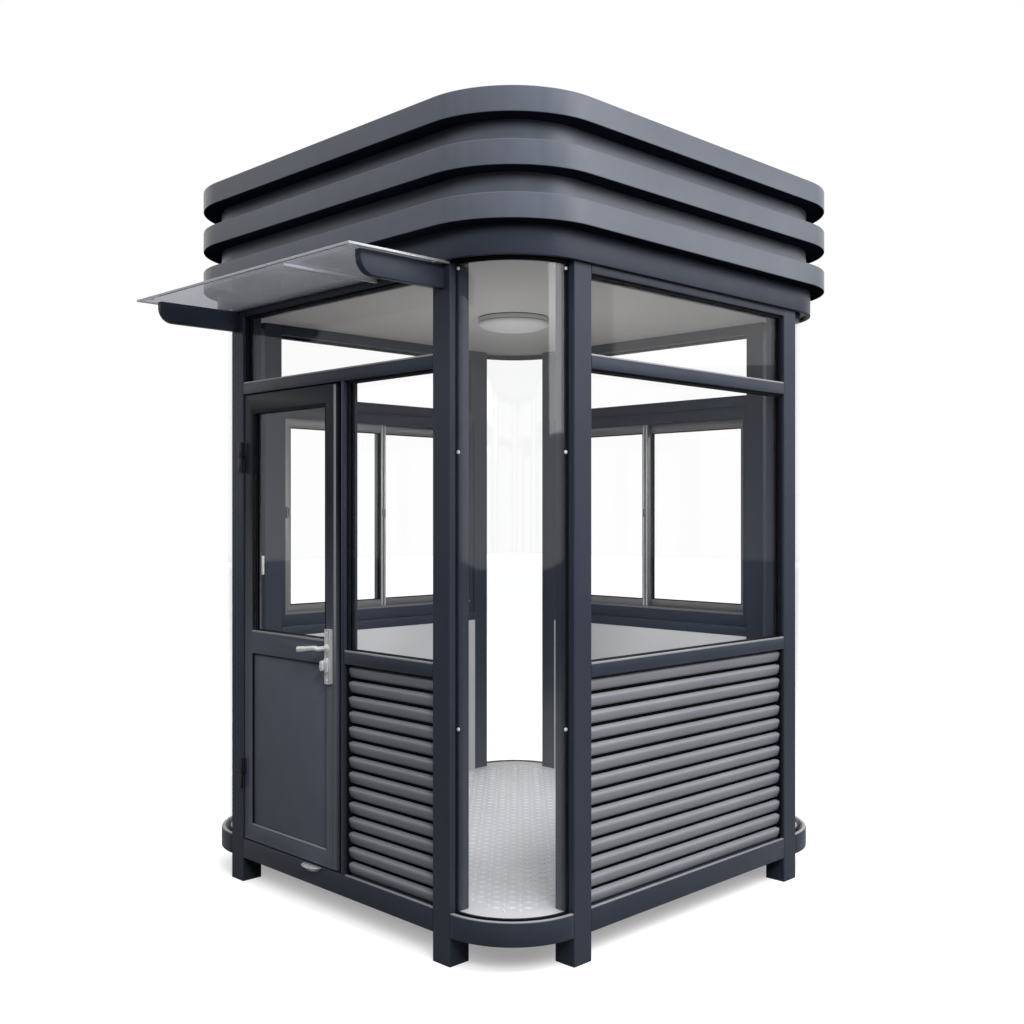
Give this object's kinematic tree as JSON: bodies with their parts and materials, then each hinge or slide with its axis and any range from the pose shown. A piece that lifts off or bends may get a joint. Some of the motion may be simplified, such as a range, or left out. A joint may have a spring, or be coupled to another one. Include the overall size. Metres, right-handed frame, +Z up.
{
  "type": "security guard booth",
  "caption": "Square steel guard booth with rounded glazed corners, louvred lower walls, sliding windows, a finned flat roof and a glazed hinged door under a clear awning.",
  "frame": {"origin": "on the ground, under the middle of the booth's plan", "axes": "+Z up; the door is on the -Y side and the wide fixed window on the +X side"},
  "size_m": [2.154, 2.501, 2.948],
  "materials": {
    "grey_paint": "satin",
    "fin_paint": "satin",
    "door_paint": "satin",
    "louvre_paint": "satin",
    "lining_board": "matt",
    "ceiling_board": "matt",
    "floor_aluminium": "chequered",
    "window_aluminium": "satin",
    "clear_glass": "clear",
    "awning_polycarbonate": "clear",
    "stainless": "brushed",
    "hinge_black": "satin",
    "lamp_white": "opal",
    "switch_white": "gloss"
  },
  "bodies": {
    "booth": {"front_posts": "grey_paint", "right_posts": "grey_paint", "back_posts": "grey_paint", "left_posts": "grey_paint", "base_beams": "grey_paint", "base_corners": "grey_paint", "sill_rails": "grey_paint", "transom_rails": "grey_paint", "top_rails": "grey_paint", "mullion": "grey_paint", "door_stop": "grey_paint", "floor_bearers": "grey_paint", "fascia": "grey_paint", "roof_frame": "fin_paint", "roof_fins": "fin_paint", "roof_deck": "grey_paint", "awning_brackets": "grey_paint", "front_louvre": "louvre_paint", "right_louvre": "louvre_paint", "back_louvre": "louvre_paint", "left_louvre": "louvre_paint", "wall_linings": "lining_board", "ceiling": "ceiling_board", "floor_plate": "floor_aluminium", "back_window_frame": "grey_paint", "back_window_sashes": "window_aluminium", "back_window_panes": "clear_glass", "left_window_frame": "grey_paint", "left_window_sashes": "window_aluminium", "left_window_panes": "clear_glass", "clerestory_glass": "clear_glass", "side_window_glass": "clear_glass", "right_window_glass": "clear_glass", "front_left_corner_glass": "clear_glass", "front_right_corner_glass": "clear_glass", "back_right_corner_glass": "clear_glass", "back_left_corner_glass": "clear_glass", "awning_sheet": "awning_polycarbonate", "awning_rib": "window_aluminium", "door_catch": "stainless", "hinge_posts": "hinge_black", "ceiling_lamp": "lamp_white", "light_switch": "switch_white"},
    "door": {"door_leaf": "door_paint", "door_panel": "door_paint", "door_glass": "clear_glass", "lock_plates": "stainless", "hinge_leaves": "hinge_black"},
    "lever": {"lever_handle": "stainless"}
  },
  "joints": [
    {"name": "door_hinge", "type": "hinge", "parent": "booth", "child": "door", "pos_m": [-0.6075, -1.012, 1.1], "axis": [0, 0, -1], "range_deg": [0, 100]},
    {"name": "lever_turn", "type": "hinge", "parent": "door", "child": "lever", "pos_m": [0.003, -0.9725, 1.033], "axis": [0, -1, 0], "range_deg": [0, 40], "stiffness_Nm_per_rad": 1.5, "springref_deg": -8.59}
  ]
}
